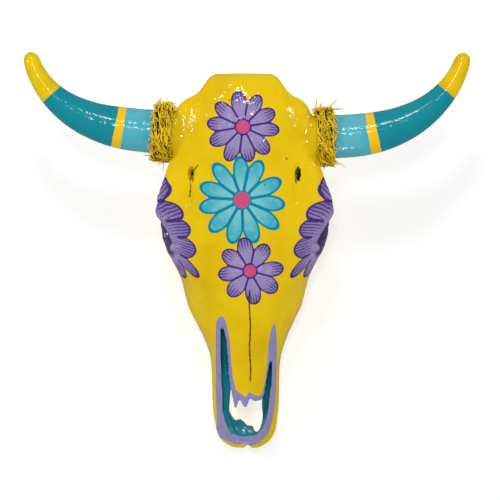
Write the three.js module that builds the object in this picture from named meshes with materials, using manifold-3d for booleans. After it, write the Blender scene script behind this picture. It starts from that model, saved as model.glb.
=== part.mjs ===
// Painted steer skull with its horns, life size, in millimetres, +Z up.
// It lies face up as a skull without its lower jaw rests: on the cheek teeth and on the two prongs
// beside the occipital condyles. -Y is the muzzle, +Y the poll, +X the animal's own left side.
// The origin is on the floor, under the middle of the whole.
import * as THREE from "three";
import { LoftGeometry } from "three/addons/geometries/LoftGeometry.js";
import { mergeVertices } from "three/addons/utils/BufferGeometryUtils.js";
import Module from "manifold-3d";

const wasm = await Module();
wasm.setup();

// Driving dimensions

const GAP = 0.3; // clearance between neighbouring bones, as a dry suture shows
const SIDES = { left: 1, right: -1 };
const MUZZLE_Y = -258;
const POLL_Y = 233;
const SUTURE_X = 6.5; // the seam down the nose lies a little to the animal's left
const ROWS = 44; // sections along the skull
const SPAN_POINTS = 3; // points of a section between two of its lines

// The lines of the skull, as a shipwright draws a hull: each gives a width or a height along Y.
const LINES = {
  middle: line([-258, 1.2], [-200, 0.8], [-130, 0.5], [-60, -0.6], [50, -0.6], [110, -1], [190, -2.2],
    [233, -1.4]),
  crown: line([-258, 38], [-245, 50], [-225, 66], [-200, 84], [-140, 105], [-80, 124], [0, 150], [70, 168],
    [150, 182], [205, 186], [224, 178], [233, 164]),
  browX: line([-258, 12], [-248, 24], [-230, 33], [-200, 35], [-140, 34.5], [-80, 41], [-50, 52], [-25, 66],
    [5, 83], [30, 94.5], [50, 105], [68, 113.5], [90, 106.5], [112, 99], [130, 92.5], [160, 88], [185, 87],
    [198, 78], [206, 67], [213, 56], [221, 48.5], [229, 43.5], [233, 37]),
  browDrop: line([-258, 3], [-230, 16], [-200, 26], [-140, 21], [-80, 16], [-25, 14], [30, 12], [68, 15],
    [112, 15], [160, 14], [205, 16], [233, 8]),
  cheekX: line([-258, 17], [-251, 29.5], [-243, 36], [-235, 39.5], [-227, 41], [-200, 44], [-137, 45.5],
    [-110, 53.5], [-90, 63.5], [-70, 74], [-50, 79.5], [-25, 85.5], [5, 102], [30, 109], [50, 110],
    [68, 101], [86, 64], [110, 58], [150, 62], [185, 66], [205, 56], [220, 42], [233, 25]),
  cheekZ: line([-258, 33], [-230, 38], [-200, 44], [-137, 55], [-80, 62], [-25, 70], [30, 73], [68, 88],
    [86, 106], [150, 112], [200, 124], [233, 145]),
  jawX: line([-258, 12], [-250, 26], [-230, 35], [-140, 42], [-110, 51], [-70, 61], [0, 66], [30, 60],
    [60, 52], [150, 54], [190, 44], [210, 34], [233, 17]),
  jawZ: line([-258, 27], [-230, 26], [-145, 28], [-125, 20], [-110, 17], [10, 17], [30, 26], [50, 42],
    [80, 52], [150, 54], [180, 56], [192, 66], [206, 94], [220, 117], [233, 133]),
  palate: line([-258, 26], [-230, 27], [-180, 35], [-120, 41], [20, 45], [60, 50], [150, 50], [180, 47],
    [192, 56], [206, 92], [220, 118], [233, 134]),
};
const CAMBER_AT = 0.6; // where on the way from the middle to the brow the crown starts to fall
const CAMBER = 0.32; // share of the brow's drop that it has lost there
const GUM_INSET = 0.64; // inner edge of the gum, as a share of the jaw's half width
const GUM_LIFT = 0.12;

// The hollow of the nose: half width, floor, and how thick the bone above it is
const NOSE = {
  fromY: -240,
  toY: -30,
  drift: 3,
  width: line([-240, 15], [-232, 19], [-215, 26], [-190, 30], [-140, 31], [-83, 29], [-60, 24], [-30, 8]),
  floor: line([-240, 40], [-225, 38], [-200, 41], [-140, 49], [-60, 60], [-30, 84]),
  roof: 6,
};
// Seen from above: the open trough of the nose, the nasal bones that reach over it, and the hole
// through the palate behind the rim of the muzzle
const TROUGH = [
  [-30, -85], [-32.4, -96], [-32.2, -124], [-31.2, -151], [-30.4, -185], [-30, -206], [-27, -219.5],
  [-23, -230], [-18, -238], [-7, -241.5], [6, -242], [16, -239], [22.6, -232], [28, -219.5], [30.6, -207],
  [32, -192], [34.4, -171], [35.7, -151], [35.6, -137], [34.4, -130],
];
const NASAL_SIDES = {
  left: [[36.4, -92], [34.6, -130], [31.6, -144], [29, -161], [25.2, -183]],
  right: [[-30.2, -84.5], [-27.6, -95.5], [-24.2, -110], [-22.8, -150], [-20, -167], [-17.4, -181.5]],
};
const NASAL_TIPS = {
  left: [[21.4, -190.4], [12.5, -191.6], [6.8, -187]],
  right: [[-13.4, -201], [-11.8, -201], [-7.4, -187], [-1.2, -199], [1.6, -199.5], [5.4, -188.6],
    [6.8, -187]],
};
const NASAL_ROOTS = {
  left: [[6.2, -33], [17, -24], [28, -48]],
  right: [[6.2, -33], [-6, -24], [-24, -48]],
};
const NASAL_THICK = 9;
const NASAL_CLEFT = 1.3; // the crack that shows between the two nasal bones
const FISSURE = [
  [-19, -168], [-21, -192], [-21.7, -208], [-17.7, -216], [-13.6, -222], [-6.9, -219.5], [-1.6, -223.5],
  [2.5, -229], [9.9, -229.5], [11.9, -235], [15.5, -238.5], [20, -233.5], [23.3, -223], [24, -213],
  [22.7, -201], [23, -193], [21, -168],
];

// Orbits, and the way behind each into the hollow of the temple
const ORBIT = { at: [103, 32, 110], radii: [50, 31, 27], forward: 20, up: 6 };
const ORBIT_FUNNEL = { from: [76, 46, 110], to: [74, 112, 106], radius: 15 };
const BROW_HOLE = { at: [68, 104, 172], radii: [3, 9, 13] };
const BROW_GROOVE = { at: [66, 84, 177], radii: [2.2, 22, 9] };
const FACE_HOLE = { at: [50, -118, 47], radii: [12, 7, 4.5] };
const LACRIMAL_KNOB = { at: [89, 11, 133], radii: [8, 6, 8] }; // at the front corner of the orbit
const MUZZLE_NOTCH = { at: [3.5, -261, 38], radii: [5, 7, 30] };

// Cheek arch: its middle line, height and thickness
const ARCH = {
  route: [[97, 40, 70], [99, 66, 76], [95, 96, 82], [82, 122, 88], [56, 142, 94]],
  height: [13, 10, 9, 10, 13],
  thick: [7, 5, 4.5, 5.5, 9],
};

// Base of the skull
const CONDYLE = { at: [25, 194, 55], radii: [15, 16, 23], lean: 22 };
const PRONG = {
  route: [[52, 166, 64], [54, 177, 34], [50, 183, 12], [47, 184, -4]],
  radius: [14, 9, 6.2, 4.4],
};
const NAPE_KNOB = { at: [0, 218, 138], radii: [15, 12, 17] };
const BULLA = { at: [37, 142, 46], radii: [12, 19, 17] };
const EAR_TUBE = { from: [50, 150, 74], to: [74, 154, 80], radius: 8 };
const SPINAL_HOLE = { at: [0, 206, 68], radii: [16, 38, 15] };
const CHOANA = { at: [0, 66, 46], radii: [17, 40, 22] };
const WING_PLATE = {
  x: 24,
  thick: 5,
  outline: [[24, 52], [30, 22], [46, 16], [70, 34], [104, 54], [90, 64], [40, 64]],
};

// Cheek teeth: three premolars and three molars on each side, front to back
const TEETH = {
  lengths: [16, 18.5, 19.5, 24, 27, 28],
  widths: [15, 18, 20, 22.5, 23.5, 22],
  frontY: -123,
  rowX: line([-120, 41], [-80, 48], [-40, 51], [0, 51.5]), // how far out the row stands
  root: 30,
  spacing: 0.6,
  facets: 12,
};

// Horns: the bony core, the sheath that covers it, and the rope of straw bound over the joint
const HORN = {
  left: { root: [112, 153.3, 152], length: 214, heading: 1.4, turn: 79, curl: 1.5, lift: 26 },
  right: { root: [112, 159.6, 152], length: 206, heading: 3.9, turn: 81, curl: 1.74, lift: 22 },
};
const HORN_RADIUS = line([0, 27.9], [0.2, 27], [0.45, 22.4], [0.7, 15.7], [0.88, 11.6], [0.95, 10.2],
  [0.985, 7.2], [1, 3]);
const CORE = { inset: 72, sink: 14, flare: 11, radius: 26.5 };
const ROPE = { inset: [13, 5, -3.2], tube: [4.6, 5.2, 4.8], tilt: 1, facets: [6, 18] };
const STRAW = { count: 18, length: [7, 15], radius: 1.1 };

// Where the bones part, in the side view
const UPPER_JAW_BACK = [[-28, 230], [-28, 84], [24, 60], [24, -20]];
const UPPER_JAW_FRONT = [[-90, 130], [-166, 10]];
const CHEEKBONE = {
  fromX: 66,
  outline: [[-28, 84], [-28, 90], [12, 92], [58, 118], [92, 118], [96, 60], [24, 44], [24, 60]],
};

const UP = new THREE.Vector3(0, 0, 1);

// Shape helpers

// A smooth function through [position, value] pairs that never swings past a pair's value.
function line(...pairs) {
  const slopes = pairs.slice(1).map(([p, v], i) => (v - pairs[i][1]) / (p - pairs[i][0]));
  const tangents = pairs.map((_, i) => {
    const [before, after] = [slopes[i - 1], slopes[i]];
    if (before === undefined || after === undefined) return before ?? after;
    return before * after <= 0 ? 0 : (2 * before * after) / (before + after);
  });
  return (at) => {
    const p = THREE.MathUtils.clamp(at, pairs[0][0], pairs.at(-1)[0]);
    const i = Math.min(Math.max(pairs.findIndex(([q]) => q >= p) - 1, 0), pairs.length - 2);
    const [[p0, v0], [p1, v1]] = [pairs[i], pairs[i + 1]];
    const [span, u] = [p1 - p0, (p - p0) / (p1 - p0)];
    return (
      v0 * (1 + 2 * u) * (1 - u) ** 2 +
      v1 * u * u * (3 - 2 * u) +
      span * (tangents[i] * u * (1 - u) ** 2 - tangents[i + 1] * u * u * (1 - u))
    );
  };
}

// A closed three.js geometry as a solid that can be joined and cut.
function solid(geometry) {
  const bare = new THREE.BufferGeometry().copy(geometry);
  bare.deleteAttribute("normal");
  bare.deleteAttribute("uv");
  const merged = mergeVertices(bare, 1e-3);
  return new wasm.Manifold(
    new wasm.Mesh({
      numProp: 3,
      vertProperties: merged.attributes.position.array,
      triVerts: new Uint32Array(merged.index.array),
    }),
  );
}

// The largest closed body of a solid, as a geometry.
function geometryOf(made) {
  const largest = made.decompose().sort((a, b) => b.volume() - a.volume())[0];
  const { vertProperties, triVerts } = largest.getMesh();
  const geometry = new THREE.BufferGeometry();
  geometry.setAttribute("position", new THREE.BufferAttribute(vertProperties, 3));
  geometry.setIndex(new THREE.BufferAttribute(triVerts, 1));
  geometry.computeVertexNormals();
  return geometry;
}

// The same geometry on the other side of the skull's middle plane, with its faces turned out again.
function onSide(geometry, side) {
  if (side > 0) return geometry;
  const mirrored = new THREE.BufferGeometry().copy(geometry).scale(-1, 1, 1);
  mirrored.setIndex(Array.from(mirrored.index.array).reverse());
  return mirrored;
}

function ellipsoid({ at, radii }, facets = [20, 14], turn = new THREE.Euler()) {
  const ball = new THREE.SphereGeometry(1, ...facets).scale(...radii);
  return ball.applyQuaternion(new THREE.Quaternion().setFromEuler(turn)).translate(...at);
}

// A ring of points round a closed curve through a few corners.
function ring(corners, spanPoints) {
  const curve = new THREE.CatmullRomCurve3(corners, true, "centripetal");
  return curve.getPoints(corners.length * spanPoints).slice(0, -1);
}

// A closed outline in the XY plane, raised from one height to another.
function raised(outline, low, high) {
  const shape = new THREE.Shape(outline.map(([x, y]) => new THREE.Vector2(x, y)));
  return new THREE.ExtrudeGeometry(shape, { depth: high - low, bevelEnabled: false }).translate(0, 0, low);
}

// A closed outline in the YZ plane, carried across from one X to another.
function across(outline, fromX, toX) {
  const turn = new THREE.Matrix4().makeBasis(
    new THREE.Vector3(0, 1, 0),
    new THREE.Vector3(0, 0, 1),
    new THREE.Vector3(1, 0, 0),
  );
  return raised(outline, fromX, toX).applyMatrix4(turn);
}

// The outline moved outwards by a margin.
function grown(outline, margin) {
  const points = outline.map(([x, y]) => new THREE.Vector2(x, y));
  const way = THREE.ShapeUtils.isClockWise(points) ? 1 : -1;
  return points.map((p, i) => {
    const before = p.clone().sub(points.at(i - 1)).normalize();
    const after = points[(i + 1) % points.length].clone().sub(p).normalize();
    const normal = before.add(after).normalize();
    return [p.x - way * normal.y * margin, p.y + way * normal.x * margin];
  });
}

// A tapering limb along a curve, with an elliptic section: across lies along the given direction.
function limb(curve, radii, { steps, sides, acrossAxis }) {
  const sections = Array.from({ length: steps + 1 }, (_, i) => {
    const t = i / steps;
    const [centre, tangent] = [curve.getPoint(t), curve.getTangent(t)];
    const normal = acrossAxis.clone().addScaledVector(tangent, -acrossAxis.dot(tangent)).normalize();
    const binormal = new THREE.Vector3().crossVectors(tangent, normal);
    const [acrossRadius, otherRadius] = radii(t);
    return Array.from({ length: sides }, (_, j) => {
      const angle = (j / sides) * Math.PI * 2;
      return centre
        .clone()
        .addScaledVector(normal, acrossRadius * Math.cos(angle))
        .addScaledVector(binormal, otherRadius * Math.sin(angle));
    });
  });
  return new LoftGeometry(sections, { capStart: true, capEnd: true });
}

// A straight round rod
function rod({ from, to, radius }) {
  const curve = new THREE.LineCurve3(new THREE.Vector3(...from), new THREE.Vector3(...to));
  return limb(curve, () => [radius, radius], { steps: 1, sides: 10, acrossAxis: UP });
}

function curveThrough(points) {
  return new THREE.CatmullRomCurve3(points.map((p) => new THREE.Vector3(...p)));
}

// Values given at even steps along a limb, as a smooth function of 0 to 1.
function evenly(values) {
  return line(...values.map((v, i) => [i / (values.length - 1), v]));
}

// The skull's mass

function skullSection(y) {
  const at = Object.fromEntries(Object.entries(LINES).map(([name, f]) => [name, f(y)]));
  const half = [
    [at.browX * CAMBER_AT, at.crown - at.browDrop * CAMBER],
    [at.browX, at.crown - at.browDrop],
    [at.cheekX, at.cheekZ],
    [at.jawX, at.jawZ],
    [at.jawX * GUM_INSET, THREE.MathUtils.lerp(at.jawZ, at.palate, GUM_LIFT)],
  ];
  const leftSide = half.map(([x, z]) => new THREE.Vector3(at.middle + x, y, z));
  const rightSide = half.map(([x, z]) => new THREE.Vector3(at.middle - x, y, z)).reverse();
  const [top, bottom] = [at.crown, at.palate].map((z) => new THREE.Vector3(at.middle, y, z));
  return ring([top, ...leftSide, bottom, ...rightSide], SPAN_POINTS);
}

// Sections stand closer together towards the muzzle and the poll, where the outline turns.
function rowY(share) {
  return THREE.MathUtils.lerp(MUZZLE_Y, POLL_Y, share - 0.1 * Math.sin(2 * Math.PI * share));
}

function skullMass() {
  const sections = Array.from({ length: ROWS + 1 }, (_, i) => skullSection(rowY(i / ROWS)));
  return solid(new LoftGeometry(sections, { capStart: true, capEnd: true }));
}

function noseHollow() {
  const rows = 16;
  const sections = Array.from({ length: rows + 1 }, (_, i) => {
    const y = THREE.MathUtils.lerp(NOSE.fromY, NOSE.toY, i / rows);
    const [half, floor, roof] = [NOSE.width(y), NOSE.floor(y), LINES.crown(y) - NOSE.roof];
    const height = Math.max(roof - floor, 3);
    const side = [[0.72, 0.86], [1, 0.5], [0.8, 0.1]];
    const corners = [
      [0, 1],
      ...side,
      [0, 0],
      ...side.map(([x, z]) => [-x, z]).reverse(),
    ].map(([x, z]) => new THREE.Vector3(NOSE.drift + x * half, y, floor + z * height));
    return ring(corners, 2);
  });
  return solid(new LoftGeometry(sections, { capStart: true, capEnd: true }));
}

function orbitHollows(side) {
  const [up, forward] = [ORBIT.up, ORBIT.forward].map(THREE.MathUtils.degToRad);
  const turn = new THREE.Euler(0, -up, -forward);
  const funnel = rod(ORBIT_FUNNEL);
  return [ellipsoid(ORBIT, [20, 14], turn), funnel].map((g) => solid(onSide(g, side)));
}

function smallHoles(side) {
  return [BROW_HOLE, BROW_GROOVE, FACE_HOLE].map((hole) => solid(onSide(ellipsoid(hole, [8, 6]), side)));
}

function cheekArch(side) {
  const [tall, thick] = [evenly(ARCH.height), evenly(ARCH.thick)];
  const bar = limb(curveThrough(ARCH.route), (t) => [tall(t), thick(t)], {
    steps: 10,
    sides: 8,
    acrossAxis: UP,
  });
  return solid(onSide(bar, side));
}

function skullBase(side) {
  const lean = new THREE.Euler(0, THREE.MathUtils.degToRad(CONDYLE.lean), 0);
  const prongRadius = evenly(PRONG.radius);
  const prong = limb(curveThrough(PRONG.route), (t) => [prongRadius(t), prongRadius(t)], {
    steps: 6,
    sides: 8,
    acrossAxis: new THREE.Vector3(1, 0, 0),
  });
  const earTube = rod(EAR_TUBE);
  const plate = across(WING_PLATE.outline, WING_PLATE.x, WING_PLATE.x + WING_PLATE.thick);
  const pieces = [ellipsoid(CONDYLE, [12, 9], lean), prong, ellipsoid(BULLA, [11, 8]), earTube];
  return [...pieces.map((g) => solid(onSide(g, side))), solid(onSide(mergeVertices(plate), side))];
}

// Each tooth is a prism with a waist on either side, flat where it meets the floor.
function cheekTeeth(side) {
  let front = TEETH.frontY;
  return TEETH.lengths.map((length, i) => {
    const y = front + length / 2;
    front += length;
    const x = TEETH.rowX(y);
    const lobes = i < 3 ? 1 : 2;
    const outline = Array.from({ length: TEETH.facets }, (_, j) => {
      const angle = (j / TEETH.facets) * Math.PI * 2;
      const waist = 1 - (lobes - 1) * 0.14 * Math.cos(angle) ** 4;
      const across = Math.sign(Math.cos(angle)) * Math.abs(Math.cos(angle)) ** 0.7;
      const along = Math.sign(Math.sin(angle)) * Math.abs(Math.sin(angle)) ** 0.7;
      return [x + (TEETH.widths[i] / 2) * across * waist, y + (length / 2 - TEETH.spacing / 2) * along];
    });
    return solid(onSide(mergeVertices(raised(outline, 0, TEETH.root)), side));
  });
}

// Horns and straw

// The horn's middle line: it leaves the skull sideways and turns up towards the poll, late along its length.
function hornCurve({ root, length, heading, turn, curl, lift }) {
  const steps = 24;
  const points = [new THREE.Vector3(...root)];
  for (let i = 0; i < steps; i++) {
    const angle = THREE.MathUtils.degToRad(heading + (turn - heading) * ((i + 0.5) / steps) ** curl);
    const next = points.at(-1).clone();
    next.x += (Math.cos(angle) * length) / steps;
    next.y += (Math.sin(angle) * length) / steps;
    next.z = root[2] + lift * ((i + 1) / steps) ** 1.4;
    points.push(next);
  }
  return new THREE.CatmullRomCurve3(points);
}

function hornSheath(horn) {
  const radii = (t) => [HORN_RADIUS(t), HORN_RADIUS(t)];
  return limb(hornCurve(horn), radii, { steps: 24, sides: 14, acrossAxis: UP });
}

// A direction in the level plane, by its angle from the X axis
function level(degrees) {
  const angle = THREE.MathUtils.degToRad(degrees);
  return new THREE.Vector3(Math.cos(angle), Math.sin(angle), 0);
}

// A point on the line of the horn's core, by its distance back from the root of the sheath
function coreAt({ root, heading }, inset) {
  return new THREE.Vector3(...root).addScaledVector(level(heading), -inset);
}

// The core widens and sinks as it runs back into the forehead. Its end is cut to the sheath.
function hornCore(horn) {
  const back = coreAt(horn, CORE.inset);
  const middle = coreAt(horn, CORE.inset / 2);
  back.z -= CORE.sink;
  middle.z -= CORE.sink / 4;
  const curve = new THREE.CatmullRomCurve3([back, middle, coreAt(horn, 16), coreAt(horn, -4)]);
  const radius = (t) => CORE.radius + CORE.flare * Math.max(0, 1 - 1.5 * t) ** 2;
  return limb(curve, (t) => [radius(t), radius(t)], { steps: 6, sides: 18, acrossAxis: UP });
}

function ropeTurns(horn, margin) {
  const lie = new THREE.Quaternion().setFromUnitVectors(UP, level(horn.heading + ROPE.tilt));
  return ROPE.inset.map((inset, i) => {
    const centre = coreAt(horn, inset);
    const round = HORN_RADIUS(0) + 2 * GAP + ROPE.tube[i];
    const turn = new THREE.TorusGeometry(round, ROPE.tube[i] + margin, ...ROPE.facets);
    return turn.applyQuaternion(lie).translate(centre.x, centre.y, centre.z);
  });
}

// Straw ends that stand out of the rope, leaning over the horn.
function strawEnds(horn, random) {
  const along = level(horn.heading);
  return Array.from({ length: STRAW.count }, (_, i) => {
    const angle = ((i + 0.6 * random()) / STRAW.count) * Math.PI * 2;
    const turn = i % ROPE.inset.length;
    const outward = new THREE.Vector3(0, Math.cos(angle), Math.sin(angle));
    const side = new THREE.Vector3().crossVectors(along, outward);
    const root = coreAt(horn, ROPE.inset[turn]);
    root.addScaledVector(outward, HORN_RADIUS(0) + 1.5 * ROPE.tube[turn]);
    const way = outward.clone().multiplyScalar(0.6);
    way.addScaledVector(along, 0.2 + 0.6 * random());
    way.addScaledVector(side, 1.4 * (random() - 0.5));
    const length = THREE.MathUtils.lerp(...STRAW.length, random());
    const curve = new THREE.LineCurve3(root, root.clone().addScaledVector(way.normalize(), length));
    const radius = (t) => STRAW.radius * (1 - 0.6 * t);
    return limb(curve, (t) => [radius(t), radius(t)], { steps: 1, sides: 4, acrossAxis: side });
  });
}

// A repeatable stream of numbers from 0 to 1
function seeded(seed) {
  let state = seed;
  return () => {
    state = (state * 1664525 + 1013904223) % 4294967296;
    return state / 4294967296;
  };
}

// Building the skull whole, then parting it into its bones

// The outline of a nasal bone from above, as a column right through the skull
function nasalColumn(name, margin) {
  const outline = [...NASAL_ROOTS[name], ...NASAL_SIDES[name], ...NASAL_TIPS[name]];
  return solid(raised(grown(outline, margin), -50, 300));
}

// A band under the crown, as thick as the nasal bones.
function nasalBand(margin) {
  const ys = Array.from({ length: 13 }, (_, i) => THREE.MathUtils.lerp(-20, -206, i / 12));
  const above = ys.map((y) => [y, LINES.crown(y) + 20]);
  const below = ys.map((y) => [y, LINES.crown(y) - NASAL_THICK - margin]).reverse();
  return solid(across([...above, ...below], -60, 60));
}

const union = (solids) => solids.reduce((a, b) => a.add(b));
const cut = (from, solids) => solids.reduce((a, b) => a.subtract(b), from);
const box = (x, y, z) => {
  const size = [x, y, z].map(([low, high]) => high - low);
  const middle = [x, y, z].map(([low, high]) => (low + high) / 2);
  return solid(new THREE.BoxGeometry(...size).translate(...middle));
};

const FAR = 400;
const names = Object.keys(SIDES);
const EVERYWHERE = [-FAR, FAR];

let whole = skullMass();
const nasalColumns = names.map((name) => nasalColumn(name, 0));
const trough = cut(solid(raised(TROUGH, 46, 300)), nasalColumns);
whole = cut(whole, [noseHollow(), trough, solid(raised(FISSURE, -50, 70))]);
whole = whole.add(solid(ellipsoid(NAPE_KNOB, [14, 10])));
for (const [name, side] of Object.entries(SIDES)) {
  whole = union([whole, cheekArch(side), ...skullBase(side), solid(onSide(hornCore(HORN[name]), side))]);
  whole = cut(whole, [...orbitHollows(side), ...smallHoles(side)]);
  whole = whole.add(solid(onSide(ellipsoid(LACRIMAL_KNOB, [12, 8]), side)));
  const sheathRoom = hornSheath({ ...HORN[name], root: coreAt(HORN[name], GAP).toArray() });
  whole = cut(whole, [...ropeTurns(HORN[name], GAP), sheathRoom].map((g) => solid(onSide(g, side))));
}
whole = cut(whole, [SPINAL_HOLE, CHOANA, MUZZLE_NOTCH].map((hole) => solid(ellipsoid(hole))));
whole = whole.subtract(box(EVERYWHERE, EVERYWHERE, [-FAR, 0]));

// The cheekbone's region on one side of the skull
function cheekRegion(side, margin) {
  const outline = grown(CHEEKBONE.outline, margin);
  return solid(onSide(mergeVertices(across(outline, CHEEKBONE.fromX - margin, FAR)), side));
}

// Everything in front of a line across the side view
function inFrontOf(sideLine, margin) {
  const outline = [...sideLine, [-FAR, sideLine.at(-1)[1]], [-FAR, sideLine[0][1]]];
  return solid(across(grown(outline, margin), -FAR, FAR));
}

const bones = {};
const cleft = box([SUTURE_X - NASAL_CLEFT / 2, SUTURE_X + NASAL_CLEFT / 2], EVERYWHERE, EVERYWHERE);
names.forEach((name, i) => {
  bones[`nasal_bone_${name}`] = whole.intersect(nasalBand(0)).intersect(nasalColumns[i]).subtract(cleft);
});
const face = cut(whole, names.map((name) => nasalColumn(name, GAP).intersect(nasalBand(GAP))));
const jaws = face.intersect(inFrontOf(UPPER_JAW_BACK, 0));
const brain = face.subtract(inFrontOf(UPPER_JAW_BACK, GAP));
for (const [name, side] of Object.entries(SIDES)) {
  const half = box(side > 0 ? [SUTURE_X + GAP / 2, FAR] : [-FAR, SUTURE_X - GAP / 2], EVERYWHERE, EVERYWHERE);
  bones[`premaxilla_${name}`] = jaws.intersect(inFrontOf(UPPER_JAW_FRONT, 0)).intersect(half);
  const maxilla = jaws.subtract(inFrontOf(UPPER_JAW_FRONT, GAP)).intersect(half);
  bones[`maxilla_${name}`] = union([maxilla, ...cheekTeeth(side)]);
  bones[`cheekbone_${name}`] = brain.intersect(cheekRegion(side, 0));
}
bones.cranium = cut(brain, Object.values(SIDES).map((side) => cheekRegion(side, GAP)));

// Paint and straw, as plain materials

const PAINT = {
  bone: new THREE.MeshStandardMaterial({ color: 0xe6c313, roughness: 0.3, metalness: 0 }),
  horn: new THREE.MeshStandardMaterial({ color: 0x1f8f9c, roughness: 0.28, metalness: 0 }),
  straw: new THREE.MeshStandardMaterial({ color: 0xd2a90f, roughness: 0.85, metalness: 0 }),
};

const skull = new THREE.Group();
function place(name, made, material) {
  const mesh = new THREE.Mesh(geometryOf(made), material);
  mesh.name = name;
  skull.add(mesh);
}
for (const [name, made] of Object.entries(bones)) place(name, made, PAINT.bone);
for (const [name, side] of Object.entries(SIDES)) {
  place(`horn_${name}`, solid(onSide(hornSheath(HORN[name]), side)), PAINT.horn);
  const rope = [...ropeTurns(HORN[name], 0), ...strawEnds(HORN[name], seeded(11 + side))];
  place(`horn_wrap_${name}`, union(rope.map((g) => solid(onSide(g, side)))), PAINT.straw);
}

export default skull;
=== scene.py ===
"""The looks of a painted steer skull: gloss paint on bone, banded horns and bound straw.

Lengths in the frame are metres. Sizes of the bones, the horns and the paint are written in
millimetres and become metres where a mesh is made. +Z comes out of the face, +Y points to the
poll, -Y to the muzzle and +X to the animal's left.
"""
import logging
import math
from collections.abc import Callable, Sequence
from dataclasses import dataclass
from enum import Enum
from typing import NamedTuple

import bmesh
import bpy
import numpy as np
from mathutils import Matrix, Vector, noise


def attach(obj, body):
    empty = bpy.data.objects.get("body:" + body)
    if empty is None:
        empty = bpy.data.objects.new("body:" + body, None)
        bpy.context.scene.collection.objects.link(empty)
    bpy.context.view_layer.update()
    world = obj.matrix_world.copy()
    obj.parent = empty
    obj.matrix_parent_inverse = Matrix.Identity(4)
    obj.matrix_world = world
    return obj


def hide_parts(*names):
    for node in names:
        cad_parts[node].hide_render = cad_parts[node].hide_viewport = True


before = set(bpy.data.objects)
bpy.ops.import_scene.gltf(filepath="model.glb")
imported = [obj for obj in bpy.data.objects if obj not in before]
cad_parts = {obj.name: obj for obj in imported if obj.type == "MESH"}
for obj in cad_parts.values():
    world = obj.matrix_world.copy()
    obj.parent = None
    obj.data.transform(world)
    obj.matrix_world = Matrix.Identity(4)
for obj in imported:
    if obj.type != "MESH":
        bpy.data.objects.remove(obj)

log = logging.getLogger("painted_steer_skull")

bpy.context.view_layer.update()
MM = 0.001
FAR = 400.0  # mm, past every bone
MERGE = 0.01  # mm, vertices closer than this are one
MIX_BELOW, MIX_ABOVE, MIX_RESULT = 6, 7, 2  # colour sockets of a mix node
DICE_LOW, DICE_HIGH, DICE_RESULT = 2, 3, 1  # number sockets of a random value node
DRAWS = 100  # how many numbers a strand may draw from one seed

Outline = Sequence[tuple[float, float]]
Line = Callable[[np.ndarray], np.ndarray]
Colour = tuple[float, float, float, float]


class Side(Enum):
    """The animal's own sides, as the sign of X."""

    LEFT = 1
    RIGHT = -1

    @property
    def word(self) -> str:
        """The side's name as the frame's nodes spell it."""
        return self.name.lower()


class Join(Enum):
    """Ways to combine two solids."""

    UNION = "UNION"
    CUT = "DIFFERENCE"
    COMMON = "INTERSECT"


class Slot(Enum):
    """Names of the material slots."""

    BONE = "painted_bone"
    HORN = "painted_horn"
    STRAW = "straw_rope"


# Lines and outlines


def monotone(points: Outline) -> Line:
    """Makes a smooth line through points that never swings past them.

    Args:
        points: Pairs of place and value, by rising place.

    Returns:
        A function that gives the values at an array of places.
    """
    p, v = np.array(points, float).T
    slope = np.diff(v) / np.diff(p)
    before, after = slope[:-1], slope[1:]
    bends_back = before * after <= 0
    inner = np.where(bends_back, 0.0, 2 * before * after / np.where(bends_back, 1.0, before + after))
    tangent = np.concatenate([slope[:1], inner, slope[-1:]])

    def at(where: np.ndarray) -> np.ndarray:
        """Gives the line's values at the places.

        Args:
            where: The places, held to the line's ends.

        Returns:
            One value per place.
        """
        where = np.clip(where, p[0], p[-1])
        i = np.clip(np.searchsorted(p, where) - 1, 0, len(p) - 2)
        span = p[i + 1] - p[i]
        u = (where - p[i]) / span
        ends = v[i] * (1 + 2 * u) * (1 - u) ** 2 + v[i + 1] * u * u * (3 - 2 * u)
        return ends + span * (tangent[i] * u * (1 - u) ** 2 - tangent[i + 1] * u * u * (1 - u))

    return at


def route_distance(x: np.ndarray, y: np.ndarray, route: Outline) -> np.ndarray:
    """Measures how far points lie from a route of straight stretches.

    Args:
        x: First coordinates of the points.
        y: Second coordinates of the points.
        route: Corners of the route.

    Returns:
        Distances to the route.
    """
    distance = np.full(x.shape, np.inf)
    for (ax, ay), (bx, by) in zip(route, route[1:]):
        ex, ey = bx - ax, by - ay
        t = np.clip(((x - ax) * ex + (y - ay) * ey) / (ex * ex + ey * ey), 0, 1)
        distance = np.minimum(distance, np.hypot(x - ax - t * ex, y - ay - t * ey))
    return distance


def inside_distance(x: np.ndarray, y: np.ndarray, outline: Outline) -> np.ndarray:
    """Measures how far points lie inside an outline.

    Args:
        x: First coordinates of the points.
        y: Second coordinates of the points.
        outline: Corners of the closed outline.

    Returns:
        Distances to the outline, below zero outside it.
    """
    closed = [*outline, outline[0]]
    inside = np.zeros(x.shape, bool)
    for (ax, ay), (bx, by) in zip(closed, closed[1:]):
        if ay != by:
            inside ^= ((ay > y) != (by > y)) & (x < ax + (y - ay) * (bx - ax) / (by - ay))
    distance = route_distance(x, y, closed)
    return np.where(inside, distance, -distance)


CROWN = monotone([
    (-258, 38), (-245, 50), (-225, 66), (-200, 84), (-140, 105), (-80, 124), (0, 150), (70, 168),
    (150, 182), (205, 186), (224, 178), (233, 164),
])


# Meshes


def make_object(name: str, mesh: bpy.types.Mesh) -> bpy.types.Object:
    """Links a new object that holds a mesh.

    Args:
        name: Name of the object.
        mesh: Its mesh.

    Returns:
        The object, at the origin.
    """
    obj = bpy.data.objects.new(name, mesh)
    bpy.context.scene.collection.objects.link(obj)
    return obj


def remove_object(obj: bpy.types.Object) -> None:
    """Deletes an object together with its mesh."""
    bpy.data.meshes.remove(obj.data)


def copy_of(obj: bpy.types.Object, name: str) -> bpy.types.Object:
    """Copies an object and its mesh under a new name."""
    return make_object(name, obj.data.copy())


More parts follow.
